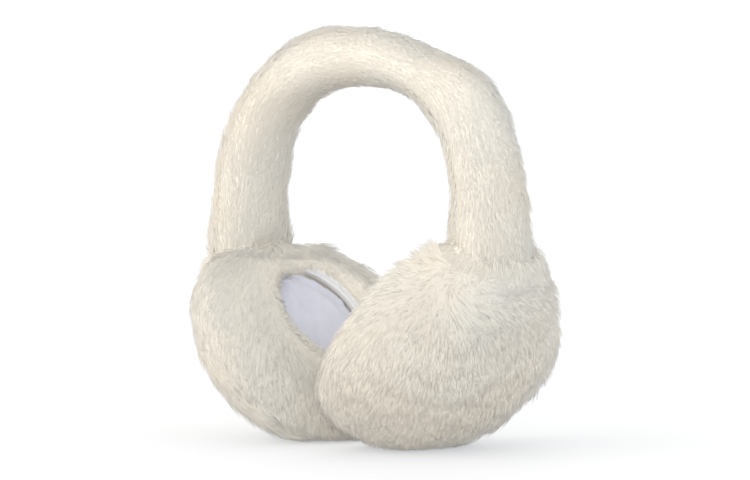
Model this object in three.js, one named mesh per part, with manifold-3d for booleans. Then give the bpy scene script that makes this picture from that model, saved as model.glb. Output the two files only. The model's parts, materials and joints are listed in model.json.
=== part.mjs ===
// Fur earmuffs: two thick fur ear pads on a headband wrapped in the same fur.
// Millimetres. X runs from ear to ear, Y from front to back and Z up.
// The earmuffs stand on the flattened lower edges of the two pads. The origin is on
// that surface, midway between the sides of the headband.
import * as THREE from 'three';
import { mergeVertices } from 'three/addons/utils/BufferGeometryUtils.js';
import Module from 'manifold-3d';

const wasm = await Module();
wasm.setup();

// Headband: the middle line of the wrapped spring, and how the fur stands around it.
const bandTop = 215;
const bandHalfSpan = 92.5;
const shoulderHeight = 108;
const archSquareness = 2.4;
const legStraight = 14;
const legRootAlong = 40;
const legRootDepth = 18;
const archSteps = 44;
const legSteps = 5;
const bandSides = 26;

// Fur around the spring, from the left end to the right end: how far it stands
// inwards, outwards and to the front and back of the middle line.
const bandSections = [
  { along: 0.0, inner: 13, outer: 13, deep: 20 },
  { along: 0.08, inner: 18.5, outer: 15, deep: 23.5 },
  { along: 0.17, inner: 17.5, outer: 15, deep: 23 },
  { along: 0.28, inner: 16, outer: 15.5, deep: 21.5 },
  { along: 0.42, inner: 16, outer: 18.5, deep: 20.5 },
  { along: 0.5, inner: 15.5, outer: 16, deep: 20.5 },
  { along: 0.62, inner: 15.5, outer: 11.5, deep: 20.5 },
  { along: 0.73, inner: 15.5, outer: 20, deep: 21 },
  { along: 0.84, inner: 15.5, outer: 16.5, deep: 22.5 },
  { along: 0.93, inner: 20, outer: 16, deep: 24 },
  { along: 1.0, inner: 13, outer: 13, deep: 20 },
];

// Ear pads: a fur cushion, domed outside and flatter inside. The lining lies in a
// round pocket, and the fur stands over its edge around a smaller mouth, which sits
// towards the back and top because the pile is brushed that way.
const padRadius = 67;
const padHeightScale = 0.97;
const domeDepth = 47;
const domeSquareness = 2.25;
const innerDepth = 11;
const innerSquareness = 2.5;
const pocketRadius = 41.5;
const pocketFloor = -4.5;
const pocketRoof = 3;
const mouthRadius = 29;
const mouthFlare = 7;
const mouthBack = 10;
const mouthUp = 6;
const mouthClearance = 4;
const padSides = 36;
const domeSteps = 11;
const innerSteps = 8;
const flareSteps = 6;

// Where each pad stands, and how far its lining looks up from the level.
const ears = [
  { side: 'left', sign: -1, x: 41.5, z: 58, lookUp: 35 },
  { side: 'right', sign: 1, x: 52.5, z: 59, lookUp: 36 },
];

// The fur swells where the headband enters the pad: the middle of each swelling, and
// how far it reaches sideways, to the front and back, and up and down.
const swellings = {
  left: { x: 80, z: 74, across: 25, deep: 29, high: 33 },
  right: { x: 85, z: 83, across: 24, deep: 28, high: 27 },
};
const swellSquareness = 2.4;
const swellSides = 24;
const swellRings = 16;

// Lining: a welted rim sewn to the lip, and the padded panel that lies on the ear.
const gap = 0.4;
const rimWidth = 7;
const rimInnerRise = 3.6;
const rimOuterRise = 6.6;
const panelRise = 5.2;
const panelEdgeRise = 2.6;
const rimRound = 0.8;
const panelFlatRadius = 12;
const panelEdgeSteps = 5;
const liningSides = 32;

// The block that stands for whatever is below the resting surface.
const floorSize = 400;

const furColour = 0xe6dfd0;
const rimColour = 0xe6e7ea;
const panelColour = 0xcfcfdc;

function fabric(color, roughness) {
  return new THREE.MeshStandardMaterial({ color, roughness, metalness: 0 });
}

// A three.js geometry as a closed solid that can be joined and cut.
function toSolid(geometry) {
  const bare = geometry.clone();
  bare.deleteAttribute('normal');
  bare.deleteAttribute('uv');
  const merged = mergeVertices(bare);
  const mesh = new wasm.Mesh({
    numProp: 3,
    vertProperties: new Float32Array(merged.attributes.position.array),
    triVerts: new Uint32Array(merged.index.array),
  });
  return new wasm.Manifold(mesh);
}

function toGeometry(solid) {
  const mesh = solid.getMesh();
  const geometry = new THREE.BufferGeometry();
  geometry.setAttribute('position', new THREE.BufferAttribute(mesh.vertProperties, 3));
  geometry.setIndex(new THREE.BufferAttribute(mesh.triVerts, 1));
  geometry.computeVertexNormals();
  return geometry;
}

// Cosine and sine of a superellipse with the given squareness, at angle turn.
function squareTurn(turn, squareness) {
  const power = 2 / squareness;
  const c = Math.cos(turn);
  const s = Math.sin(turn);
  return [
    Math.sign(c) * Math.abs(c) ** power,
    Math.sign(s) * Math.abs(s) ** power,
  ];
}

// A profile of (radius, height) pairs turned about the pad's axis, which is local Z.
function turned(profile, sides) {
  const points = profile.map(([radius, height]) => new THREE.Vector2(radius, height));
  const geometry = new THREE.LatheGeometry(points, sides);
  geometry.rotateX(Math.PI / 2);
  geometry.scale(padHeightScale, 1, 1);
  return geometry;
}

// The pad's outside: the dome from its pole to the widest ring, then the inner face.
function padOutline(grow) {
  const profile = [];
  for (let step = 0; step < domeSteps; step += 1) {
    const [down, across] = squareTurn(Math.PI / 2 * step / domeSteps, domeSquareness);
    profile.push([(padRadius + grow) * across, -(domeDepth + grow) * down]);
  }
  for (let step = 0; step <= innerSteps; step += 1) {
    const [across, up] = squareTurn(Math.PI / 2 * step / innerSteps, innerSquareness);
    const radius = step < innerSteps ? (padRadius + grow) * across : 0;
    profile.push([radius, (innerDepth + grow) * up]);
  }
  return turned(profile, padSides);
}

// The pocket that the lining lies in.
function pocketShape() {
  return turned([
    [0, pocketFloor],
    [pocketRadius, pocketFloor],
    [pocketRadius, pocketRoof],
    [0, pocketRoof],
  ], padSides);
}

// The opening in the fur, which rounds outwards from the pocket to the pad's face.
function mouthShape(sign) {
  const low = pocketFloor + mouthClearance;
  const profile = [[0, low], [mouthRadius, low]];
  for (let step = 0; step <= flareSteps; step += 1) {
    const turn = Math.PI / 2 * step / flareSteps;
    profile.push([
      mouthRadius + mouthFlare * (1 - Math.cos(turn)),
      pocketRoof + (innerDepth - pocketRoof) * Math.sin(turn),
    ]);
  }
  profile.push([mouthRadius + mouthFlare, innerDepth + mouthClearance]);
  profile.push([0, innerDepth + mouthClearance]);
  return turned(profile, padSides).translate(sign * mouthUp, mouthBack, 0);
}

// A round cornered lump, in the part's own frame.
function swelling(ear, grow) {
  const { x, z, across, deep, high } = swellings[ear.side];
  const geometry = new THREE.SphereGeometry(1, swellSides, swellRings);
  const position = geometry.attributes.position;
  const point = new THREE.Vector3();
  for (let i = 0; i < position.count; i += 1) {
    point.fromBufferAttribute(position, i);
    const size = Math.abs(point.x) ** swellSquareness
      + Math.abs(point.y) ** swellSquareness
      + Math.abs(point.z) ** swellSquareness;
    point.multiplyScalar(size ** (-1 / swellSquareness));
    position.setXYZ(
      i,
      ear.sign * x + point.x * (across + grow),
      point.y * (deep + grow),
      z + point.z * (high + grow),
    );
  }
  return geometry;
}

// The surface that the earmuffs stand on, as a block below it.
function floorBlock() {
  const geometry = new THREE.BoxGeometry(floorSize, floorSize, floorSize);
  geometry.translate(0, 0, -floorSize / 2);
  return geometry;
}

// The rim is a stuffed welt that rises from the panel's edge to the lip.
function rimShape() {
  const outer = pocketRadius - gap;
  const inner = outer - rimWidth;
  const bottom = pocketFloor + gap;
  const innerTop = pocketFloor + rimInnerRise;
  const outerTop = pocketFloor + rimOuterRise;
  return turned([
    [inner, bottom],
    [outer, bottom],
    [outer, outerTop],
    [outer - rimRound, outerTop + rimRound],
    [(outer + inner) / 2, (outerTop + innerTop) / 2 + rimRound],
    [inner + rimRound, innerTop + rimRound],
    [inner, innerTop],
    [inner, bottom],
  ], liningSides);
}

// The panel is a thin cushion, flat in the middle and falling to its sewn edge.
function panelShape() {
  const outer = pocketRadius - 2 * gap - rimWidth;
  const bottom = pocketFloor + gap;
  const top = pocketFloor + panelRise;
  const edge = pocketFloor + panelEdgeRise;
  const profile = [[0, bottom], [outer, bottom]];
  for (let step = 0; step <= panelEdgeSteps; step += 1) {
    const turn = Math.PI / 2 * step / panelEdgeSteps;
    profile.push([
      panelFlatRadius + (outer - panelFlatRadius) * Math.cos(turn),
      edge + (top - edge) * Math.sin(turn),
    ]);
  }
  profile.push([0, top]);
  return turned(profile, liningSides);
}

// Middle line of the headband: an arch between the shoulders, and a leg from each
// shoulder to its root deep in the pad's upper edge.
function bandLine(earGroups) {
  const [left, right] = earGroups.map((group) => (
    new THREE.Vector3(group.userData.sign * legRootAlong, 0, -legRootDepth)
      .applyMatrix4(group.matrix)
  ));
  const top = bandTop - middleSection().outer;
  const arch = [];
  for (let step = 0; step <= archSteps; step += 1) {
    const [across, up] = squareTurn(Math.PI * (1 - step / archSteps), archSquareness);
    const z = shoulderHeight + (top - shoulderHeight) * up;
    arch.push(new THREE.Vector3(bandHalfSpan * across, 0, z));
  }
  const leg = (root, sign) => new THREE.QuadraticBezierCurve3(
    new THREE.Vector3(sign * bandHalfSpan, 0, shoulderHeight),
    new THREE.Vector3(sign * bandHalfSpan, 0, shoulderHeight - legStraight),
    root,
  ).getPoints(legSteps).slice(1);
  return new THREE.CatmullRomCurve3([...leg(left, -1).reverse(), ...arch, ...leg(right, 1)]);
}

function middleSection() {
  return bandSections[(bandSections.length - 1) / 2];
}

// The fur's reach at any place along the band, eased between the table's rows.
function sectionAt(along) {
  const next = Math.max(1, bandSections.findIndex((row) => row.along >= along));
  const a = bandSections[next - 1];
  const b = bandSections[next];
  const t = THREE.MathUtils.smoothstep(along, a.along, b.along);
  return {
    inner: THREE.MathUtils.lerp(a.inner, b.inner, t),
    outer: THREE.MathUtils.lerp(a.outer, b.outer, t),
    deep: THREE.MathUtils.lerp(a.deep, b.deep, t),
  };
}

// The band's fur as rings of points along its middle line, closed at both ends.
function bandShape(line) {
  const rings = archSteps + 2 * legSteps;
  const position = [];
  const index = [];
  for (let ring = 0; ring <= rings; ring += 1) {
    const along = ring / rings;
    const middle = line.getPointAt(along);
    const tangent = line.getTangentAt(along);
    const outwards = new THREE.Vector3(-tangent.z, 0, tangent.x);
    const { inner, outer, deep } = sectionAt(along);
    for (let side = 0; side < bandSides; side += 1) {
      const turn = 2 * Math.PI * side / bandSides;
      const reach = Math.cos(turn) > 0 ? outer : inner;
      const point = middle.clone().addScaledVector(outwards, reach * Math.cos(turn));
      position.push(point.x, deep * Math.sin(turn), point.z);
      if (ring < rings) {
        const here = ring * bandSides;
        const beside = (side + 1) % bandSides;
        const ahead = here + bandSides;
        index.push(here + side, ahead + side, here + beside);
        index.push(here + beside, ahead + side, ahead + beside);
      }
    }
  }
  const last = rings * bandSides;
  for (let side = 1; side < bandSides - 1; side += 1) {
    index.push(0, side, side + 1);
    index.push(last, last + side + 1, last + side);
  }
  const geometry = new THREE.BufferGeometry();
  geometry.setAttribute('position', new THREE.Float32BufferAttribute(position, 3));
  geometry.setIndex(index);
  return geometry;
}

function named(name, geometry, material) {
  const mesh = new THREE.Mesh(geometry, material);
  mesh.name = name;
  return mesh;
}

// Each ear is a group at the pad's middle, turned so that local Z is the way the
// lining looks. The pad itself is cut flat where it rests.
function earGroup(ear) {
  const group = new THREE.Group();
  group.position.set(ear.sign * ear.x, 0, ear.z);
  group.rotation.y = -ear.sign * THREE.MathUtils.degToRad(90 - ear.lookUp);
  group.userData.sign = ear.sign;
  group.updateMatrix();
  const toLocal = group.matrix.clone().invert();
  const pad = toSolid(padOutline(0))
    .add(toSolid(swelling(ear, 0).applyMatrix4(toLocal)))
    .subtract(toSolid(pocketShape()))
    .subtract(toSolid(mouthShape(ear.sign)))
    .subtract(toSolid(floorBlock().applyMatrix4(toLocal)));
  group.add(
    named(`ear_fur_${ear.side}`, toGeometry(pad), fabric(furColour, 0.95)),
    named(`ear_rim_${ear.side}`, rimShape(), fabric(rimColour, 0.8)),
    named(`ear_panel_${ear.side}`, panelShape(), fabric(panelColour, 0.75)),
  );
  return group;
}

// The band's fur stops at the pads' fur.
function headband(earGroups) {
  let solid = toSolid(bandShape(bandLine(earGroups)));
  earGroups.forEach((group, i) => {
    solid = solid
      .subtract(toSolid(padOutline(gap).applyMatrix4(group.matrix)))
      .subtract(toSolid(swelling(ears[i], gap)));
  });
  return named('headband_fur', toGeometry(solid), fabric(furColour, 0.95));
}

const earGroups = ears.map(earGroup);
const earmuffs = new THREE.Group();
earmuffs.add(headband(earGroups), ...earGroups);

export default earmuffs;
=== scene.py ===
import json
import math

import bmesh
import bpy
import numpy as np
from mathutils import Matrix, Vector
from mathutils.bvhtree import BVHTree


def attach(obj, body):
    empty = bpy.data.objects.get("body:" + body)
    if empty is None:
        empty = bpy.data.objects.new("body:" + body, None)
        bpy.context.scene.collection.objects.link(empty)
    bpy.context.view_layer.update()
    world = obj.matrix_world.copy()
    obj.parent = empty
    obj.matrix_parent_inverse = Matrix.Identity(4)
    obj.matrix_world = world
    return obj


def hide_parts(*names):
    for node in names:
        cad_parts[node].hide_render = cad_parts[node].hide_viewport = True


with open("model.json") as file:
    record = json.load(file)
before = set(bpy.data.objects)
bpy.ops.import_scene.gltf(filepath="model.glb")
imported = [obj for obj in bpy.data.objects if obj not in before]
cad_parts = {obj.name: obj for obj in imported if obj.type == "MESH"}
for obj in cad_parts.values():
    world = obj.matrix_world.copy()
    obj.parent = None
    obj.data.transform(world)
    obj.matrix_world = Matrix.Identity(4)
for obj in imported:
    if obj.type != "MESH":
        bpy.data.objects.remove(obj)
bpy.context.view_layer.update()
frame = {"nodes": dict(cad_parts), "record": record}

# The view: the earmuffs stand on a table and are seen from a little above the pads,
# turned so that one pad is near, the other looks out from behind it, and the arch is
# open between them.
MM = 0.001
view_azimuth = math.radians(47.5)
view_elevation = math.radians(2.7)
view_distance = 2.01
lens_length = 187.2
film_width = 36
aim = Vector((3.3 * MM, 3.6 * MM, 104.7 * MM))
towards_viewer = Vector((
    math.sin(view_azimuth) * math.cos(view_elevation),
    -math.cos(view_azimuth) * math.cos(view_elevation),
    math.sin(view_elevation),
))
camera = bpy.data.objects.new("viewer", bpy.data.cameras.new("viewer"))
camera.data.sensor_width = film_width
camera.data.lens = lens_length
camera.location = aim + towards_viewer * view_distance
camera.rotation_euler = (-towards_viewer).to_track_quat("-Z", "Y").to_euler()
bpy.context.scene.collection.objects.link(camera)
bpy.context.scene.camera = camera

# Backing of the fur: the knitted cloth that carries the pile, sewn into a tube around
# the spring band and into a stuffed cover on each ear. It lies as deep under the tips
# of the pile as the pile is high, and the three covers meet where the band goes in.
UP = np.array([0.0, 0.0, 1.0])
BACK = np.array([0.0, 1.0, 0.0])
weave_size = 3.0 * MM
first_settling = 6
last_settling = 4
# the knit's colours: its mottle is the cloth's own random tone, and its darkness below the pile's
# root colour is painted shade of the deep pile over it
knit_dark_painted_shade = (0.74, 0.66, 0.54)
knit_pale = (0.915, 0.80, 0.64)
knit_scale = 300.0

# how deep each cover lies under the tips of the pile: least at the lip over the lining
dome_inset = 5.0 * MM
lip_inset = 1.5 * MM
lip_reach = (44 * MM, 60 * MM)
lip_height = (-10 * MM, 0)
inset_steps = 4
foot_fullness = {"left": 0.0, "right": 0.8}
foot_level = (30 * MM, 80 * MM)

# the swelling where the band goes in is eased into the dome over this much of it
swelling_depth = (2 * MM, 14 * MM)
swelling_level = (30 * MM, 50 * MM)
swelling_sides = (36 * MM, 52 * MM)
swelling_softness = 0.6
swelling_smoothing = 40

# the pad holds the leg tightly on its outer side and dips around it on its inner side
leg_top = 125 * MM
hold_tightness = 1.3
hold_reach = (20 * MM, 42 * MM)
hold_side = (-12 * MM, 8 * MM)
hold_level = (50 * MM, 78 * MM)
crown_drop = {"left": 6 * MM, "right": 0 * MM}
crown_level = (78 * MM, 104 * MM)
collar_drop = {"left": 15 * MM, "right": 1 * MM}
collar_reach = (24 * MM, 38 * MM)
collar_height = (-16 * MM, -2 * MM)
collar_fading = 0.8
inner_side = (-14 * MM, 2 * MM)

# the band's legs narrow, lean inwards and run on down into the pads
band_inset = 3.5 * MM
leg_flare = 0.5
leg_flare_level = (100 * MM, 126 * MM)
leg_tuck = {"left": 22 * MM, "right": 9 * MM}
leg_tuck_level = (92 * MM, 110 * MM)
leg_narrowing = 7 * MM
leg_lean = 11 * MM


def unit(vectors):
    return vectors / np.maximum(np.linalg.norm(vectors, axis=-1, keepdims=True), 1e-9)


def ease(values, start, end):
    t = np.clip((values - start) / (end - start), 0, 1)
    return t * t * (3 - 2 * t)


def places(mesh):
    co = np.zeros(len(mesh.vertices) * 3, np.float32)
    mesh.vertices.foreach_get("co", co)
    return co.reshape(-1, 3).astype(float)


def facings(mesh):
    normals = np.zeros(len(mesh.vertices) * 3, np.float32)
    mesh.vertex_normals.foreach_get("vector", normals)
    return normals.reshape(-1, 3).astype(float)


def put(mesh, co):
    mesh.vertices.foreach_set("co", co.astype(np.float32).ravel())
    mesh.update()


def faced_outwards(mesh, doubles_too=False):
    """Points a closed mesh's faces outwards, once its doubled corners are merged."""
    shell = bmesh.new()
    shell.from_mesh(mesh)
    if doubles_too:
        bmesh.ops.remove_doubles(shell, verts=shell.verts, dist=1e-6)
    bmesh.ops.recalc_face_normals(shell, faces=shell.faces)
    shell.to_mesh(mesh)
    shell.free()


def new_piece(name, mesh):
    piece = bpy.data.objects.new(name, mesh)
    bpy.context.scene.collection.objects.link(piece)
    return piece


def with_modifiers_applied(piece):
    bpy.context.view_layer.update()
    seen = piece.evaluated_get(bpy.context.evaluated_depsgraph_get())
    mesh = bpy.data.meshes.new_from_object(seen)
    piece.modifiers.clear()
    piece.data = mesh
    return piece


def rewoven(piece, size, smoothing):
    remesh = piece.modifiers.new("even weave", "REMESH")
    remesh.mode = "VOXEL"
    remesh.voxel_size = size
    smooth = piece.modifiers.new("settle", "SMOOTH")
    smooth.factor = 0.5
    smooth.iterations = smoothing
    return with_modifiers_applied(piece)


def merged_copy(node, name):
    mesh = frame["nodes"][node].data.copy()
    faced_outwards(mesh, doubles_too=True)
    mesh.materials.clear()
    return new_piece(name, mesh)


class Ear:
    """One pad's own directions: its middle, the way its lining looks, and up along it."""

    panel_thickness = 0.7 * MM

    def __init__(self, side):
        mounts = {m["name"]: m for m in frame["record"]["mounts"]}
        contact = mounts["ear_contact_" + side]
        self.side = side
        self.looks = unit(np.array(contact["axis"], float))
        self.middle = np.array(contact["pos_m"], float) - self.panel_thickness * self.looks
        self.up = unit(UP - self.looks * self.looks[2])
        self.outwards = np.sign(self.middle[0])

    def at(self, up, back, height):
        return self.middle + up * self.up + back * BACK + height * self.looks

    def measure(self, co):
        """How far each place lies up, back, and in height over the lining's middle."""
        away = co - self.middle
        return away @ self.up, away @ BACK, away @ self.looks


ears = [Ear("left"), Ear("right")]


def eased_in(ear, piece):
    """Lets the swelling at the band's root run smoothly into the dome."""
    co = places(piece.data)
    _, _, height = ear.measure(co)
    root = ease(-height, *swelling_depth) * ease(co[:, 2], *swelling_level)
    root *= 1 - ease(np.abs(co[:, 1]), *swelling_sides)
    group = piece.vertex_groups.new(name="root")
    for i in np.flatnonzero(root > 0.02):
        group.add([int(i)], float(root[i]), "REPLACE")
    smooth = piece.modifiers.new("ease", "SMOOTH")
    smooth.factor = swelling_softness
    smooth.iterations = swelling_smoothing
    smooth.vertex_group = "root"
    with_modifiers_applied(piece)
    piece.vertex_groups.clear()
    return piece


def leg_middle(ear):
    leg = places(frame["nodes"]["headband_fur"].data)
    leg = leg[(leg[:, 0] * ear.outwards > 0) & (leg[:, 2] < leg_top)]
    return (leg.min(axis=0) + leg.max(axis=0)) / 2


def pad_backing(ear):
    cover = merged_copy("ear_fur_" + ear.side, "ear_backing_" + ear.side)
    piece = eased_in(ear, rewoven(cover, weave_size, first_settling))
    co = places(piece.data)
    up, back, height = ear.measure(co)
    near_lining = (1 - ease(np.hypot(up, back), *lip_reach)) * ease(height, *lip_height)
    inset = dome_inset + (lip_inset - dome_inset) * near_lining
    middle = leg_middle(ear)
    across = np.hypot(co[:, 0] - middle[0], co[:, 1] - middle[1])
    beyond = (co[:, 0] - middle[0]) * ear.outwards
    hold = (1 - ease(across, *hold_reach)) * ease(beyond, *hold_side)
    inset *= 1 - hold_tightness * hold * ease(co[:, 2], *hold_level)
    sideways = 1 - foot_fullness[ear.side] * (1 - ease(co[:, 2], *foot_level))
    fuller = np.stack([sideways, sideways, np.ones(len(co))], axis=1)
    for _ in range(inset_steps):
        co = co - facings(piece.data) * fuller * (inset / inset_steps)[:, None]
        put(piece.data, co)
    high = ease(co[:, 2], *crown_level)
    collar = 1 - ease(across, *collar_reach)
    collar *= 1 - collar_fading * ease(height, *collar_height)
    inner = 1 - ease(beyond, *inner_side)
    co[:, 2] -= high * inner * (crown_drop[ear.side] + collar_drop[ear.side] * collar)
    put(piece.data, co)
    return rewoven(piece, weave_size, last_settling)


def band_backing():
    piece = rewoven(merged_copy("headband_fur", "band_backing"), weave_size, first_settling)
    co = places(piece.data)
    normals = facings(piece.data)
    below = 1 - ease(co[:, 2], *leg_flare_level)
    sideways = normals - np.outer(below * normals[:, 2], UP)
    tucked = 1 - ease(co[:, 2], *leg_tuck_level)
    inset = band_inset * (1 - leg_flare * below) + leg_narrowing * tucked
    co = co - sideways * inset[:, None]
    co[:, 0] -= np.sign(co[:, 0]) * leg_lean * tucked
    co[:, 2] -= np.where(co[:, 0] < 0, leg_tuck["left"], leg_tuck["right"]) * below
    put(piece.data, co)
    return rewoven(piece, weave_size, last_settling)


class Wiring:
    """A node tree being wired: adds nodes, and links or sets their inputs by name."""

    def __init__(self, tree):
        self.tree = tree

    def add(self, kind, settings=None, **inputs):
        node = self.tree.nodes.new(kind)
        for name, value in (settings or {}).items():
            setattr(node, name, value)
        for name, value in inputs.items():
            self.feed(node, name.replace("_", " "), value)
        return node

    def feed(self, node, name, value):
        socket = node.inputs[int(name)] if name.isdigit() else self.named(node, name)
        if isinstance(value, bpy.types.NodeSocket):
            self.tree.links.new(value, socket)
        else:
            socket.default_value = value

    @staticmethod
    def named(node, name):
        usable = [s for s in node.inputs if s.name.lower() == name.lower() and s.enabled]
        return usable[0]


def out(node, name=0):
    usable = [s for s in node.outputs if s.enabled]
    return usable[name] if isinstance(name, int) else {s.name: s for s in usable}[name]


def principled(name, roughness, sheen):
    material = bpy.data.materials.new(name)
    material.use_nodes = True
    shader = material.node_tree.nodes["Principled BSDF"]
    shader.inputs["Roughness"].default_value = roughness
    shader.inputs["Specular IOR Level"].default_value = 0.25
    shader.inputs["Sheen Weight"].default_value = sheen
    shader.inputs["Sheen Roughness"].default_value = 0.5
    return material, shader


def ramp(wiring, value, stops):
    node = wiring.add("ShaderNodeValToRGB", Fac=value)
    band = node.color_ramp
    while len(band.elements) < len(stops):
        band.elements.new(0.5)
    for element, (place, colour) in zip(band.elements, stops):
        element.position = place
        element.color = (*colour, 1)
    return out(node)


def backing_finish():
    material, shader = principled("fur_backing", 0.95, 0.1)
    wiring = Wiring(material.node_tree)
    where = wiring.add("ShaderNodeTexCoord").outputs["Object"]
    knit = wiring.add("ShaderNodeTexNoise", Vector=where, Scale=knit_scale, Detail=3.0)
    # the knit's colour, darkened as painted shade of the pile over it
    colour = ramp(wiring, knit.outputs[0], ((0.3, knit_dark_painted_shade), (0.7, knit_pale)))
    wiring.feed(shader, "Base Color", colour)
    return material


pad_backings = {ear.side: pad_backing(ear) for ear in ears}
headband_backing = band_backing()
fur_backing = backing_finish()

covers = {"ear_fur_" + side: cover for side, cover in pad_backings.items()}
covers["headband_fur"] = headband_backing
for node, cover in covers.items():
    cover.data.materials.append(fur_backing)
    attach(cover, "root")
    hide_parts(node)

# Ear fur: long ivory pile set into the backing of both pads and gathered into locks. It
# whorls high on the outside, falls from there over the dome, and stands inwards around
# the mouth over the lining. It is ruffled where the leg goes into the left pad.
strand_bends = (0.05, 0.11, 0.17, 0.24)
strand_sides = 3
strand_slimness = 0.03
strand_belly = 0.38
lock_size = 9 * MM
wisp_share = 0.6
wisp_fineness = 2.7
wisp_shift = 1.3
strand_lengths = (0.72, 1.12)
lock_lengths = (0.7, 1.3)
floor_gap = 0.3 * MM
ear_pile = 14 * MM
lip_pile = 8 * MM
fringe_pile = 4.5 * MM
ear_strands = 1_640_000
ear_strand_width = 0.46 * MM


def strand_shape(name, bend):
    """A strand of unit height: a root, one ring of corners at its belly, and a tip."""
    corners = [(0, 0, 0)]
    along = [0.0]
    for side in range(strand_sides):
        turn = 2 * math.pi * side / strand_sides
        corners.append((
            bend + 0.5 * strand_slimness * math.cos(turn), 0.5 * math.sin(turn), strand_belly))
        along.append(strand_belly)
    corners.append((0, 0, 1))
    along.append(1.0)
    faces = []
    last = len(corners) - 1
    for side in range(strand_sides):
        beside = (side + 1) % strand_sides
        faces.append((0, 1 + beside, 1 + side))
        faces.append((last, last - strand_sides + side, last - strand_sides + beside))
    mesh = bpy.data.meshes.new(name)
    mesh.from_pydata(corners, [], faces)
    mesh.polygons.foreach_set("use_smooth", [True] * len(faces))
    mesh.attributes.new("along", "FLOAT", "POINT").data.foreach_set("value", along)
    return bpy.data.objects.new(name, mesh)


strand_shapes = bpy.data.collections.new("strand_shapes")
for number, bend in enumerate(strand_bends):
    strand_shapes.objects.link(strand_shape(f"strand_{number}", bend))


def maths(wiring, operation, *values):
    node = wiring.add("ShaderNodeMath", {"operation": operation})
    for i, value in enumerate(values):
        wiring.feed(node, str(i), value)
    return out(node)


def vectors(wiring, operation, *values, scale=None):
    node = wiring.add("ShaderNodeVectorMath", {"operation": operation})
    for i, value in enumerate(values):
        wiring.feed(node, str(i), value)
    if scale is not None:
        wiring.feed(node, "Scale", scale)
    return out(node)


def carried(wiring, name, kind):
    return out(wiring.add("GeometryNodeInputNamedAttribute", {"data_type": kind}, Name=name))


def new_tree(name, kind, inputs, outputs):
    """A node group with named sockets: its wiring, what it is given, and its last node."""
    tree = bpy.data.node_groups.new(name, kind)
    for way, sockets in (("INPUT", inputs), ("OUTPUT", outputs)):
        for socket, data in sockets.items():
            tree.interface.new_socket(socket, in_out=way, socket_type="NodeSocket" + data)
    given = tree.nodes.new("NodeGroupInput").outputs
    return Wiring(tree), given, tree.nodes.new("NodeGroupOutput")


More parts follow.
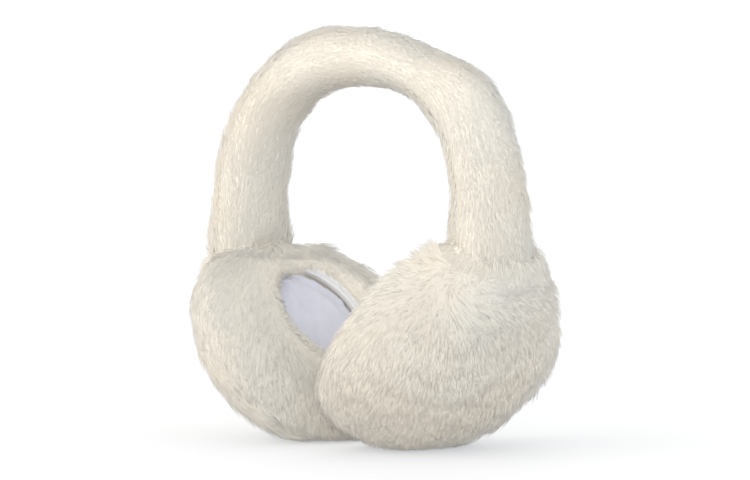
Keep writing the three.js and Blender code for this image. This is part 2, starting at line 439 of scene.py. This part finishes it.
def pile_tree():
    wiring, given, result = new_tree("pile", "GeometryNodeTree", {
        "Backing": "Geometry",
        "Strands": "Collection",
        "Strands per square metre": "Float",
        "Strand width": "Float",
        "Lock size": "Float",
        "Lock strength": "Float",
        "Stray": "Float",
        "Seed": "Int",
        "Finish": "Material",
    }, {"Pile": "Geometry"})

    def random(kind, low, high, seed):
        return out(wiring.add(
            "FunctionNodeRandomValue", {"data_type": kind}, Min=low, Max=high, Seed=seed))

    def seed_beyond(step):
        return maths(wiring, "ADD", given["Seed"], step)

    def stored(geometry, kind, name, value):
        return out(wiring.add(
            "GeometryNodeStoreNamedAttribute", {"data_type": kind, "domain": "POINT"},
            Geometry=geometry, Name=name, Value=value))

    # roots, as thick as the backing says
    density = maths(
        wiring, "MULTIPLY", given["Strands per square metre"], carried(wiring, "thick", "FLOAT"))
    roots = wiring.add(
        "GeometryNodeDistributePointsOnFaces", {"distribute_method": "RANDOM"},
        Mesh=given["Backing"], Density=density, Seed=given["Seed"])
    place = out(wiring.add("GeometryNodeInputPosition"))
    frequency = maths(wiring, "DIVIDE", 1.0, given["Lock size"])

    # the way each strand lies: combed, gathered into locks and wisps, a little astray
    def wander(fineness, shift):
        noise = wiring.add(
            "ShaderNodeTexNoise", {"noise_dimensions": "3D"},
            Vector=vectors(wiring, "ADD", place, (shift, shift, shift)),
            Scale=maths(wiring, "MULTIPLY", frequency, fineness), Detail=1.0)
        return vectors(wiring, "SUBTRACT", noise.outputs["Color"], (0.5, 0.5, 0.5))

    locks = vectors(wiring, "SCALE", wander(1.0, 0.0), scale=given["Lock strength"])
    wisps = vectors(
        wiring, "SCALE", wander(wisp_fineness, wisp_shift),
        scale=maths(wiring, "MULTIPLY", given["Lock strength"], wisp_share))
    strays = vectors(
        wiring, "SCALE", random("FLOAT_VECTOR", (-1, -1, -1), (1, 1, 1), given["Seed"]),
        scale=given["Stray"])
    lie = carried(wiring, "comb", "FLOAT_VECTOR")
    for bias in (locks, wisps, strays):
        lie = vectors(wiring, "ADD", lie, bias)
    turn = wiring.add(
        "FunctionNodeAxesToRotation", {"primary_axis": "Z", "secondary_axis": "X"},
        Primary_Axis=vectors(wiring, "NORMALIZE", lie), Secondary_Axis=roots.outputs["Normal"])

    # its length, uneven from lock to lock and from strand to strand
    lock_length = wiring.add(
        "ShaderNodeTexNoise", {"noise_dimensions": "3D"}, Vector=place, Scale=frequency, Detail=0.0)
    uneven = maths(
        wiring, "MULTIPLY_ADD", lock_length.outputs[0],
        lock_lengths[1] - lock_lengths[0], lock_lengths[0])
    length = maths(
        wiring, "MULTIPLY", carried(wiring, "pile", "FLOAT"),
        random("FLOAT", *strand_lengths, given["Seed"]))
    length = maths(wiring, "MULTIPLY", length, uneven)
    size = wiring.add("ShaderNodeCombineXYZ", X=length, Y=given["Strand width"], Z=length)

    # its own tone, and the way the backing faces under it
    points = stored(
        roots.outputs["Points"], "FLOAT", "tone", random("FLOAT", 0.0, 1.0, seed_beyond(7)))
    points = stored(points, "FLOAT_VECTOR", "lie", roots.outputs["Normal"])

    shapes = wiring.add("GeometryNodeCollectionInfo", Collection=given["Strands"])
    wiring.feed(shapes, "Separate Children", True)
    wiring.feed(shapes, "Reset Children", True)
    strands = wiring.add(
        "GeometryNodeInstanceOnPoints", Points=points, Instance=out(shapes), Pick_Instance=True,
        Instance_Index=random("INT", 0, len(strand_bends) - 1, seed_beyond(3)),
        Rotation=out(turn), Scale=out(size))
    plain = wiring.add("GeometryNodeRealizeInstances", Geometry=out(strands))

    # nothing hangs through the table
    split = wiring.add("ShaderNodeSeparateXYZ", Vector=place)
    clear = wiring.add(
        "ShaderNodeCombineXYZ", X=split.outputs["X"], Y=split.outputs["Y"],
        Z=maths(wiring, "MAXIMUM", split.outputs["Z"], floor_gap))
    standing = wiring.add(
        "GeometryNodeSetPosition", Geometry=out(plain), Position=out(clear))
    finished = wiring.add(
        "GeometryNodeSetMaterial", Geometry=out(standing), Material=given["Finish"])
    wiring.feed(result, "Pile", out(finished))
    return wiring.tree


fur_pile = pile_tree()


def modelled(piece, tree, **values):
    """Runs a tree over a piece with its named values, and leaves a plain mesh."""
    modifier = piece.modifiers.new(tree.name, "NODES")
    modifier.node_group = tree
    sockets = {
        item.name: item.identifier
        for item in tree.interface.items_tree if item.in_out == "INPUT"
    }
    for socket, value in values.items():
        modifier[sockets[socket.replace("_", " ")]] = value
    return with_modifiers_applied(piece)


# Its finish: undyed ivory pile, paler at the tips and a warmer, darker sand colour at the roots,
# partly the pile's own tone and partly painted shade deep in the pile.
# No two strands or patches are quite the same tone, and light passes through the strands.
# the roots' darker sand colour is partly painted shade of the deep pile
root_colour = (0.915, 0.80, 0.64)
shaft_colour = (0.94, 0.86, 0.71)
tip_colour = (0.965, 0.905, 0.785)
blush_colour = (1.0, 0.915, 0.84)
shaft_height = 0.45
patch_scale = 19.0
patch_fading = 0.1
tone_spread = 0.05
blush_patches = (0.42, 0.72)
blush_strength = 0.75
facing_of_backing = 26.0
strand_sheerness = 0.984


def fur_tones_group():
    """The colour of a strand, and the way it takes the light: mostly as its backing does."""
    wiring, given, result = new_tree("fur_tones", "ShaderNodeTree", {
        "Place": "Vector",
        "Along": "Float",
        "Tone": "Float",
        "Brightness": "Float",
        "Lie": "Vector",
        "Own Facing": "Vector",
    }, {"Colour": "Color", "Facing": "Vector"})
    # darker towards the roots: partly the strand's own tone, partly painted shade deep in the pile
    colour = ramp(wiring, given["Along"], (
        (0.0, root_colour), (shaft_height, shaft_colour), (1.0, tip_colour)))
    patches = wiring.add("ShaderNodeTexNoise", Vector=given["Place"], Scale=patch_scale, Detail=2.0)
    fade = maths(
        wiring, "MULTIPLY_ADD", patches.outputs[0], patch_fading, 1 - patch_fading / 2)
    # Brightness scales a whole copy of the fur's tone; below 1 it is painted shade
    darkest = maths(wiring, "SUBTRACT", given["Brightness"], tone_spread / 2)
    own = maths(wiring, "MULTIPLY_ADD", given["Tone"], tone_spread, darkest)
    blush = wiring.add(
        "ShaderNodeMapRange", Value=patches.outputs[0], From_Min=blush_patches[0],
        From_Max=blush_patches[1], To_Min=0.0, To_Max=blush_strength)
    warmed = wiring.add(
        "ShaderNodeMix", {"data_type": "RGBA", "blend_type": "MULTIPLY"},
        Factor=out(blush), A=colour, B=(*blush_colour, 1))
    shade = wiring.add(
        "ShaderNodeHueSaturation", Value=maths(wiring, "MULTIPLY", fade, own), Color=out(warmed))
    mixed = vectors(
        wiring, "ADD", vectors(wiring, "SCALE", given["Lie"], scale=facing_of_backing),
        given["Own Facing"])
    wiring.feed(result, "Colour", out(shade))
    wiring.feed(result, "Facing", vectors(wiring, "NORMALIZE", mixed))
    return wiring.tree


fur_tones = fur_tones_group()


def fur_finish(name, brightness):
    material, shader = principled(name, 0.75, 0.25)
    wiring = Wiring(material.node_tree)

    def told(attribute, kind):
        node = wiring.add("ShaderNodeAttribute", {"attribute_name": attribute})
        return node.outputs[kind]

    tones = wiring.add(
        "ShaderNodeGroup", {"node_tree": fur_tones}, Along=told("along", "Fac"),
        Tone=told("tone", "Fac"), Lie=told("lie", "Vector"), Brightness=brightness,
        Place=wiring.add("ShaderNodeTexCoord").outputs["Object"],
        Own_Facing=wiring.add("ShaderNodeNewGeometry").outputs["Normal"])
    wiring.feed(shader, "Base Color", tones.outputs["Colour"])
    wiring.feed(shader, "Normal", tones.outputs["Facing"])
    path = wiring.add("ShaderNodeLightPath")
    passing = maths(
        wiring, "MAXIMUM", path.outputs["Is Shadow Ray"], path.outputs["Is Diffuse Ray"])
    sheer = wiring.add("ShaderNodeMixShader")
    wiring.feed(sheer, "0", maths(wiring, "MULTIPLY", passing, strand_sheerness))
    wiring.feed(sheer, "1", shader.outputs[0])
    wiring.feed(sheer, "2", out(wiring.add("ShaderNodeBsdfTransparent")))
    wiring.feed(material.node_tree.nodes["Material Output"], "Surface", out(sheer))
    return material


long_fur = fur_finish("ivory_long_fur", 1.0)

# Its brushing: the whorl, tousled on the right pad, and the fall below it
whorl_up = 50 * MM
whorl_back = {"left": 0 * MM, "right": -32 * MM}
whorl_out = {"left": -12 * MM, "right": -22 * MM}
whorl_reach = 24 * MM
whorl_tousle = {"left": 0.0, "right": 1.0}
tousle_reach = (4 * MM, 30 * MM)
tousle_strength = 0.7
tousle_swirl = 0.5
tousle_lift = 0.5
tousle_thickness = 0.7
fall_level = (-5 * MM, 45 * MM)
fall_strength = 1.1
whorl_fall = 0.5
usual_lift = 0.28

# the mouth over the lining: a fringe at its very edge, a shorter lip and face around it
mouth_up = 6 * MM
mouth_back = 10 * MM
fringe_reach = (34 * MM, 43 * MM)
fringe_height = (-2 * MM, 3 * MM)
fringe_stand = 0.45
fringe_droop = 0.3
fringe_strength = 1.5
mouth_lip_reach = (30 * MM, 44 * MM)
mouth_lip_height = (0, 6 * MM)
mouth_lip_lift = 0.2
face_reach = (36 * MM, 60 * MM)
face_height = (-4 * MM, 8 * MM)
face_share = 0.8
pocket_radius = 43 * MM
pocket_height = (-12 * MM, 2.5 * MM)
pocket_looks = -0.2

# around the leg: combed away from it, and ruffled up at the left pad's seam
by_leg_depth = (-13 * MM, -4 * MM)
by_leg_level = (60 * MM, 80 * MM)
by_leg_fall = 0.6
by_leg_strength = 1.5
by_leg_flatness = 0.1
ruffled_seam = {"left": 1.0, "right": 0.0}
seam_depth = (-7 * MM, -2 * MM)
seam_side = (-10 * MM, 4 * MM)
seam_lift = 1.1
seam_thickness = 1.5
seam_shortness = 0.4
bare_collar = 2 * MM


def depth_in(piece, co):
    """How far each place lies inside a closed piece: above nought inside, below outside."""
    tree = BVHTree.FromObject(piece, bpy.context.evaluated_depsgraph_get())
    depth = np.zeros(len(co))
    for i, place in enumerate(co):
        near, normal, _, distance = tree.find_nearest(Vector(place))
        within = (near - Vector(place)).dot(normal) > 0.5 * distance
        depth[i] = distance if within else -distance
    return depth


def carry(mesh, name, kind, values):
    attribute = mesh.attributes.get(name) or mesh.attributes.new(name, kind, "POINT")
    field = "vector" if kind == "FLOAT_VECTOR" else "value"
    attribute.data.foreach_set(field, np.asarray(values, np.float32).ravel())


def brush_ear(ear, piece):
    co = places(piece.data)
    normals = facings(piece.data)

    def along_surface(v):
        return v - normals * np.sum(v * normals, axis=1, keepdims=True)

    up, back, height = ear.measure(co)

    # the whorl and the fall below it
    whorl = ear.at(whorl_up, whorl_back[ear.side], whorl_out[ear.side])
    from_whorl = np.linalg.norm(co - whorl, axis=1)
    tousle = whorl_tousle[ear.side] * (1 - ease(from_whorl, *tousle_reach))
    tousled = np.random.default_rng(5).normal(size=co.shape) * tousle[:, None] * tousle_strength
    away = unit(along_surface(unit(along_surface(co - whorl)) + tousled))
    swirl = np.cross(normals, away) * (tousle_swirl * tousle)[:, None]
    fall = along_surface(np.tile(-UP, (len(co), 1)))
    below = ease(whorl[2] - co[:, 2], *fall_level)[:, None]
    centred = ease(from_whorl, 0, whorl_reach)[:, None]
    flow = unit(
        away * centred + swirl + fall_strength * fall * below + whorl_fall * fall * (1 - centred))

    # around the leg
    leg_depth = depth_in(headband_backing, co)
    by_leg = (ease(leg_depth, *by_leg_depth) * ease(co[:, 2], *by_leg_level))[:, None]
    from_leg = co - leg_middle(ear)
    from_leg[:, 2] = 0
    parted = unit(along_surface(unit(from_leg) - by_leg_fall * UP))
    flow = unit(flow * (1 - by_leg) + by_leg_strength * parted * by_leg)
    seam = ruffled_seam[ear.side] * ease(leg_depth, *seam_depth)
    seam *= ease(from_leg[:, 0] * ear.outwards, *seam_side)

    # around the mouth
    mouth_distance = np.hypot(up - mouth_up, back - mouth_back)
    edge = (1 - ease(mouth_distance, *fringe_reach)) * ease(height, *fringe_height)
    lip = (1 - ease(mouth_distance, *mouth_lip_reach)) * ease(height, *mouth_lip_height)
    face = (1 - ease(mouth_distance, *face_reach)) * ease(height, *face_height)
    inwards = ear.at(mouth_up, mouth_back, 0) - co
    inwards = unit(inwards - np.outer(inwards @ ear.looks, ear.looks))
    fringe = unit(inwards + fringe_stand * ear.looks - fringe_droop * UP)

    lift = usual_lift + mouth_lip_lift * lip + tousle_lift * tousle ** 2
    lift += seam_lift * seam - by_leg_flatness * by_leg[:, 0]
    comb = unit(flow + normals * lift[:, None])
    comb = unit(comb * (1 - edge)[:, None] + fringe_strength * fringe * edge[:, None])
    thick = 1.0 + tousle_thickness * tousle ** 2 + seam_thickness * seam
    in_pocket = (np.hypot(up, back) < pocket_radius) & (normals @ ear.looks > pocket_looks)
    in_pocket &= (height > pocket_height[0]) & (height < pocket_height[1])
    thick[in_pocket] = 0
    thick[leg_depth > -bare_collar * (1 - seam)] = 0
    pile = ear_pile + (lip_pile - ear_pile) * np.maximum(lip, face_share * face)
    pile += (fringe_pile - pile) * edge
    pile *= 1 - seam_shortness * seam
    carry(piece.data, "comb", "FLOAT_VECTOR", comb)
    carry(piece.data, "thick", "FLOAT", thick)
    carry(piece.data, "pile", "FLOAT", pile)


for number, ear in enumerate(ears):
    cover = pad_backings[ear.side]
    brush_ear(ear, cover)
    for layer in range(2):
        pile = modelled(
            new_piece(f"ear_pile_{ear.side}_{layer}", cover.data.copy()), fur_pile,
            Strands=strand_shapes, Strands_per_square_metre=ear_strands / 2,
            Strand_width=ear_strand_width, Lock_size=lock_size, Lock_strength=0.3,
            Stray=0.14, Seed=10 * number + layer + 1, Finish=long_fur)
        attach(pile, "root")

# Headband fur: the shorter velvety pile of the sleeve around the band, brushed one way
# along the arch from ear to ear. It is longer where the legs go down into the pads.
band_pile = 9 * MM
band_strands = 1_300_000
band_strand_width = 0.42 * MM
band_lift = 0.42
arch_middle = 110 * MM
arch_wedges = 40
leg_pile_level = (98 * MM, 116 * MM)
leg_pile_growth = {"left": 0.25, "right": 0.5}

# the same ivory fur as on the ears, painted darker (brightness 0.9) as painted shade: the shorter
# pile shades itself less and catches more light
short_fur = fur_finish("ivory_short_fur", 0.9)


def brush_band(piece):
    co = places(piece.data)
    normals = facings(piece.data)
    turn = np.arctan2(co[:, 0], co[:, 2] - arch_middle)
    edges = np.linspace(turn.min(), turn.max(), arch_wedges + 1)
    wedge = np.clip(np.digitize(turn, edges) - 1, 0, arch_wedges - 1)
    line = np.array([co[wedge == i].mean(axis=0) for i in range(arch_wedges)])
    line[:, 1] = 0
    course = unit(np.gradient(line, axis=0))
    middles = (edges[1:] + edges[:-1]) / 2
    along = unit(np.stack([np.interp(turn, middles, course[:, k]) for k in range(3)], axis=1))
    along = unit(along - normals * np.sum(along * normals, axis=1, keepdims=True))
    thick = np.ones(len(co))
    for cover in pad_backings.values():
        thick[depth_in(cover, co) > 0] = 0
    growth = np.where(co[:, 0] > 0, leg_pile_growth["right"], leg_pile_growth["left"])
    at_root = 1 - ease(co[:, 2], *leg_pile_level)
    carry(piece.data, "comb", "FLOAT_VECTOR", unit(along + normals * band_lift))
    carry(piece.data, "thick", "FLOAT", thick)
    carry(piece.data, "pile", "FLOAT", band_pile * (1 + at_root * growth))


brush_band(headband_backing)
for layer in range(2):
    pile = modelled(
        new_piece(f"headband_pile_{layer}", headband_backing.data.copy()), fur_pile,
        Strands=strand_shapes, Strands_per_square_metre=band_strands / 2,
        Strand_width=band_strand_width, Lock_size=lock_size, Lock_strength=0.25,
        Stray=0.16, Seed=40 + layer, Finish=short_fur)
    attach(pile, "root")

# Ear rim: the narrow gathered band of brushed cloth that joins the fur's mouth to the
# lining. It is a stuffed ring, pulled into soft gathers by the thread that holds it.
rim_profile = (
    # radius mm, height mm over the lining's own middle
    (36.6, -3.9),
    (40.8, -3.9),
    (41.0, -1.2),
    (40.6, 0.9),
    (39.4, 1.8),
    (37.8, 1.6),
    (36.7, 0.6),
    (36.3, -1.4),
)
rim_crown = (0, 0, 0.4, 0.8, 1.0, 1.0, 0.8, 0.3)
rim_gathers = 84
rim_steps = 336
gather_depth = 0.22 * MM
gather_drift = 1.7
slack_depth = 0.18 * MM
ripple_spread = 0.3
yarn_scale = 120.0
relief_height = 0.1 * MM


def turned(ear, name, profile, steps, ripple):
    """A closed ring turned around the ear's own middle, with a ripple(turn, k) in height."""
    count = len(profile)
    corners = []
    for step in range(steps):
        turn = 2 * math.pi * step / steps
        for k, (radius, height) in enumerate(profile):
            rise = ripple(turn, k)
            out_by = radius * MM + ripple_spread * rise
            corners.append(ear.at(
                out_by * math.sin(turn), out_by * math.cos(turn), height * MM + rise))
    faces = []
    for step in range(steps):
        here, after = step * count, (step + 1) % steps * count
        for k in range(count):
            above = (k + 1) % count
            faces.append((here + k, after + k, after + above, here + above))
    mesh = bpy.data.meshes.new(name)
    mesh.from_pydata(corners, [], faces)
    faced_outwards(mesh)
    mesh.polygons.foreach_set("use_smooth", [True] * len(faces))
    return new_piece(name, mesh)


def weave_group():
    """A plain weave of crossing threads, with the slow change of tone along its yarn."""
    wiring, given, result = new_tree(
        "weave", "ShaderNodeTree", {"Place": "Vector", "Thread": "Float"},
        {"Height": "Float", "Tone": "Float"})
    count = maths(wiring, "DIVIDE", math.pi, given["Thread"])
    split = wiring.add("ShaderNodeSeparateXYZ", Vector=vectors(
        wiring, "SCALE", given["Place"], scale=count))
    warp = maths(wiring, "ADD", split.outputs["Y"], split.outputs["Z"])
    weft = maths(wiring, "SUBTRACT", split.outputs["Y"], split.outputs["Z"])
    warp = maths(wiring, "ABSOLUTE", maths(wiring, "SINE", warp))
    weft = maths(wiring, "ABSOLUTE", maths(wiring, "SINE", weft))
    slub = wiring.add("ShaderNodeTexNoise", Vector=given["Place"], Scale=yarn_scale, Detail=3.0)
    wiring.feed(result, "Height", maths(wiring, "MULTIPLY", warp, weft))
    wiring.feed(result, "Tone", slub.outputs[0])
    return wiring.tree


weave = weave_group()


def cloth_finish(name, dark, light, thread, relief, roughness, sheen):
    material, shader = principled(name, roughness, sheen)
    wiring = Wiring(material.node_tree)
    cloth = wiring.add("ShaderNodeGroup", {"node_tree": weave}, Thread=thread)
    wiring.feed(cloth, "Place", wiring.add("ShaderNodeTexCoord").outputs["Object"])
    colour = ramp(wiring, cloth.outputs["Tone"], ((0.3, dark), (0.7, light)))
    bump = wiring.add(
        "ShaderNodeBump", Strength=relief, Distance=relief_height,
        Height=cloth.outputs["Height"])
    wiring.feed(shader, "Base Color", colour)
    wiring.feed(shader, "Normal", out(bump))
    return material


rim_cloth = cloth_finish(
    "brushed_rim_cloth", dark=(0.66, 0.65, 0.655), light=(0.74, 0.73, 0.725),
    thread=0.45 * MM, relief=0.5, roughness=0.85, sheen=0.4)


def rim_ripple(turn, k):
    gather = math.sin(rim_gathers * turn + gather_drift * math.sin(5 * turn))
    slack = math.sin(7 * turn + 0.6) + 0.6 * math.sin(11 * turn + 2.1)
    return rim_crown[k] * (gather_depth * gather + slack_depth * slack)


for ear in ears:
    rim = turned(ear, "ear_rim_cloth_" + ear.side, rim_profile, rim_steps, rim_ripple)
    rim.data.materials.append(rim_cloth)
    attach(rim, "root")
    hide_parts("ear_rim_" + ear.side)

# Piping: a thin corded edge sewn between the rim and the lining panel, with the row of
# small stitches that holds it along the rim's side.
piping_radius = 35.75
piping_height = 0.55
piping_thickness = 0.75
piping_steps = 260
piping_sides = 8
piping_profile = [
    (piping_radius + 0.5 * piping_thickness * math.cos(2 * math.pi * k / piping_sides),
     piping_height + 0.5 * piping_thickness * math.sin(2 * math.pi * k / piping_sides))
    for k in range(piping_sides)
]
seam_radius = 37.2 * MM
seam_height = 1.25 * MM
seam_steps = 180
stitch_count = 120
stitch_length = 1.25 * MM
stitch_width = 0.3 * MM


def stitch_tree():
    wiring, given, result = new_tree("stitches", "GeometryNodeTree", {
        "Seam": "Geometry",
        "Count": "Int",
        "Length": "Float",
        "Width": "Float",
        "Facing": "Vector",
        "Thread": "Material",
    }, {"Stitches": "Geometry"})
    line = wiring.add("GeometryNodeMeshToCurve", Mesh=given["Seam"])
    points = wiring.add("GeometryNodeCurveToPoints", Curve=out(line), Count=given["Count"])
    turn = wiring.add(
        "FunctionNodeAxesToRotation", {"primary_axis": "Z", "secondary_axis": "X"},
        Primary_Axis=points.outputs["Tangent"], Secondary_Axis=given["Facing"])
    thread = wiring.add("GeometryNodeMeshUVSphere", Segments=6, Rings=5, Radius=0.5)
    size = wiring.add(
        "ShaderNodeCombineXYZ", X=given["Width"], Y=given["Width"], Z=given["Length"])
    stitches = wiring.add(
        "GeometryNodeInstanceOnPoints", Points=points.outputs["Points"], Instance=out(thread),
        Rotation=out(turn), Scale=out(size))
    plain = wiring.add("GeometryNodeRealizeInstances", Geometry=out(stitches))
    smooth = wiring.add("GeometryNodeSetShadeSmooth", Geometry=out(plain))
    finished = wiring.add(
        "GeometryNodeSetMaterial", Geometry=out(smooth), Material=given["Thread"])
    wiring.feed(result, "Stitches", out(finished))
    return wiring.tree


def seam_line(ear):
    turns = np.linspace(0, 2 * math.pi, seam_steps, endpoint=False)
    corners = [
        ear.at(seam_radius * math.sin(t), seam_radius * math.cos(t), seam_height) for t in turns]
    mesh = bpy.data.meshes.new("seam_" + ear.side)
    mesh.from_pydata(corners, [(i, (i + 1) % seam_steps) for i in range(seam_steps)], [])
    return mesh


stitching = stitch_tree()
thread_finish = cloth_finish(
    "lining_thread", dark=(0.62, 0.62, 0.64), light=(0.7, 0.7, 0.71),
    thread=0.2 * MM, relief=0.4, roughness=0.6, sheen=0.2)
piping_cloth = cloth_finish(
    "piping_cloth", dark=(0.78, 0.78, 0.79), light=(0.86, 0.86, 0.86),
    thread=0.35 * MM, relief=0.4, roughness=0.6, sheen=0.3)

for ear in ears:
    piping = turned(
        ear, "ear_piping_" + ear.side, piping_profile, piping_steps, lambda turn, k: 0.0)
    piping.data.materials.append(piping_cloth)
    stitches = modelled(
        new_piece("ear_stitches_" + ear.side, seam_line(ear)), stitching, Count=stitch_count,
        Length=stitch_length, Width=stitch_width, Facing=[float(v) for v in ear.looks],
        Thread=thread_finish)
    for piece in (piping, stitches):
        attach(piece, "root")

# Lining panel: the smooth round cushion that rests on the ear, satin over soft wadding.
# It is sewn flat at its edge and swells to a low crown in the middle.
panel_radius = 35.3 * MM
panel_low = -4.0 * MM
panel_edge = -1.6 * MM
panel_crown = 0.6 * MM
panel_roundness = 2.4
panel_rings = 12
panel_steps = 64
panel_weave = 2.6 * MM
panel_settling = 3
panel_swelling = 1.6 * MM
sewn_edge = 1.2 * MM
sewn_depth = 1 * MM
stuffing_moments = 20


def panel_blank(ear):
    """A closed shallow dome: its crown, rings down to the edge, and the edge's foot."""
    rings = []
    for ring in range(1, panel_rings + 1):
        share = ring / panel_rings
        crowned = (panel_crown - panel_edge) * (1 - share ** panel_roundness)
        rings.append((share * panel_radius, panel_edge + crowned))
    rings.append((panel_radius, panel_low))
    corners = [ear.at(0, 0, panel_crown)]
    for radius, height in rings:
        for step in range(panel_steps):
            turn = 2 * math.pi * step / panel_steps
            corners.append(ear.at(radius * math.sin(turn), radius * math.cos(turn), height))
    corners.append(ear.at(0, 0, panel_low))
    faces = []
    for step in range(panel_steps):
        after = (step + 1) % panel_steps
        faces.append((0, 1 + step, 1 + after))
        for ring in range(len(rings) - 1):
            high = 1 + ring * panel_steps
            low = high + panel_steps
            faces.append((high + step, low + step, low + after, high + after))
        last = 1 + (len(rings) - 1) * panel_steps
        faces.append((last + step, len(corners) - 1, last + after))
    mesh = bpy.data.meshes.new("panel_blank")
    mesh.from_pydata(corners, [], faces)
    faced_outwards(mesh)
    return new_piece("ear_panel_cloth_" + ear.side, mesh)


def stuffed(ear, piece):
    """Lets the wadding press the satin out, then keeps it within the room it has."""
    rest = places(piece.data)
    held = piece.vertex_groups.new(name="sewn")
    up, back, height = ear.measure(rest)
    sewn = np.hypot(up, back) > panel_radius - sewn_edge
    sewn |= height < panel_edge - sewn_depth
    held.add([int(i) for i in np.flatnonzero(sewn)], 1.0, "REPLACE")
    cloth = piece.modifiers.new("stuffing", "CLOTH").settings
    cloth.quality = 6
    cloth.mass = 0.2
    cloth.tension_stiffness = 12
    cloth.compression_stiffness = 12
    cloth.bending_stiffness = 0.6
    cloth.shrink_min = -0.03
    cloth.use_pressure = True
    cloth.uniform_pressure_force = 4
    cloth.vertex_group_mass = "sewn"
    cloth.effector_weights.gravity = 0
    for moment in range(1, stuffing_moments + 1):
        bpy.context.scene.frame_set(moment)
    with_modifiers_applied(piece)
    bpy.context.scene.frame_set(1)
    moved = places(piece.data) - rest
    length = np.linalg.norm(moved, axis=1, keepdims=True)
    put(piece.data, rest + moved * np.minimum(1, panel_swelling / np.maximum(length, 1e-9)))
    piece.vertex_groups.clear()
    return piece


panel_satin = cloth_finish(
    "lavender_satin", dark=(0.48, 0.485, 0.58), light=(0.545, 0.55, 0.65),
    thread=0.3 * MM, relief=0.25, roughness=0.5, sheen=0.3)

for ear in ears:
    panel = rewoven(panel_blank(ear), panel_weave, panel_settling)
    panel = stuffed(ear, panel)
    finer = panel.modifiers.new("finer", "SUBSURF")
    finer.levels = 1
    finer.render_levels = 1
    with_modifiers_applied(panel)
    panel.data.polygons.foreach_set("use_smooth", [True] * len(panel.data.polygons))
    panel.data.materials.append(panel_satin)
    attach(panel, "root")
    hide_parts("ear_panel_" + ear.side)

# Table and light: a matt white table in a white room that is darker overhead. A large
# soft lamp lights it warmly from the viewer's left, a reflector from beside the viewer,
# and a cooler lamp fills in from the right.
table_reach = 30
table_colour = (0.62, 0.62, 0.625)
table_glow_colour = (0.97, 0.985, 1)
table_glow = 0.34
room_level = (0.1, 0.8)
room_brightness = (1.46, 0.62)

table_mesh = bpy.data.meshes.new("table_top")
table_mesh.from_pydata(
    [(x * table_reach, y * table_reach, 0) for x, y in ((-1, -1), (1, -1), (1, 1), (-1, 1))],
    [], [(0, 1, 2, 3)])
table_top = new_piece("table_top", table_mesh)
table_white, table_shader = principled("table_white", 0.9, 0.0)
table_shader.inputs["Base Color"].default_value = (*table_colour, 1)
table_shader.inputs["Emission Color"].default_value = (*table_glow_colour, 1)
table_shader.inputs["Emission Strength"].default_value = table_glow
table_mesh.materials.append(table_white)

room = bpy.data.worlds.new("studio")
room.use_nodes = True
wiring = Wiring(room.node_tree)
direction = wiring.add("ShaderNodeTexCoord").outputs["Generated"]
paling = wiring.add(
    "ShaderNodeMapRange", Value=wiring.add("ShaderNodeSeparateXYZ", Vector=direction).outputs["Z"],
    From_Min=room_level[0], From_Max=room_level[1],
    To_Min=room_brightness[0], To_Max=room_brightness[1])
background = room.node_tree.nodes["Background"]
wiring.feed(background, "Strength", out(paling))
wiring.feed(background, "Color", (1, 1, 1, 1))
bpy.context.scene.world = room


def lamp(name, towards, strength, softness, colour):
    light = bpy.data.lights.new(name, "SUN")
    light.energy = strength
    light.angle = math.radians(softness)
    light.color = colour
    piece = bpy.data.objects.new(name, light)
    piece.rotation_euler = Vector(towards).to_track_quat("Z", "Y").to_euler()
    bpy.context.scene.collection.objects.link(piece)


to_left = Vector((-math.cos(view_azimuth), -math.sin(view_azimuth), 0))
overhead = Vector((0, 0, 1))
lamp("key", towards_viewer * 0.6 + to_left * 0.9 + overhead * 0.4,
     strength=1.6, softness=70, colour=(1, 0.945, 0.83))
lamp("reflector", towards_viewer + to_left * 0.4 + overhead * 0.02,
     strength=1.1, softness=60, colour=(1, 0.97, 0.93))
lamp("fill", towards_viewer - to_left * 0.6 + overhead * 0.1,
     strength=0.85, softness=60, colour=(0.46, 0.74, 1))
lamp("back", overhead * 0.5 - towards_viewer,
     strength=0.5, softness=60, colour=(1, 0.99, 0.96))

bpy.context.scene.view_settings.view_transform = "Standard"
bpy.context.scene.view_settings.gamma = 1.5

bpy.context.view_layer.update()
bpy.data.collections.remove(strand_shapes)
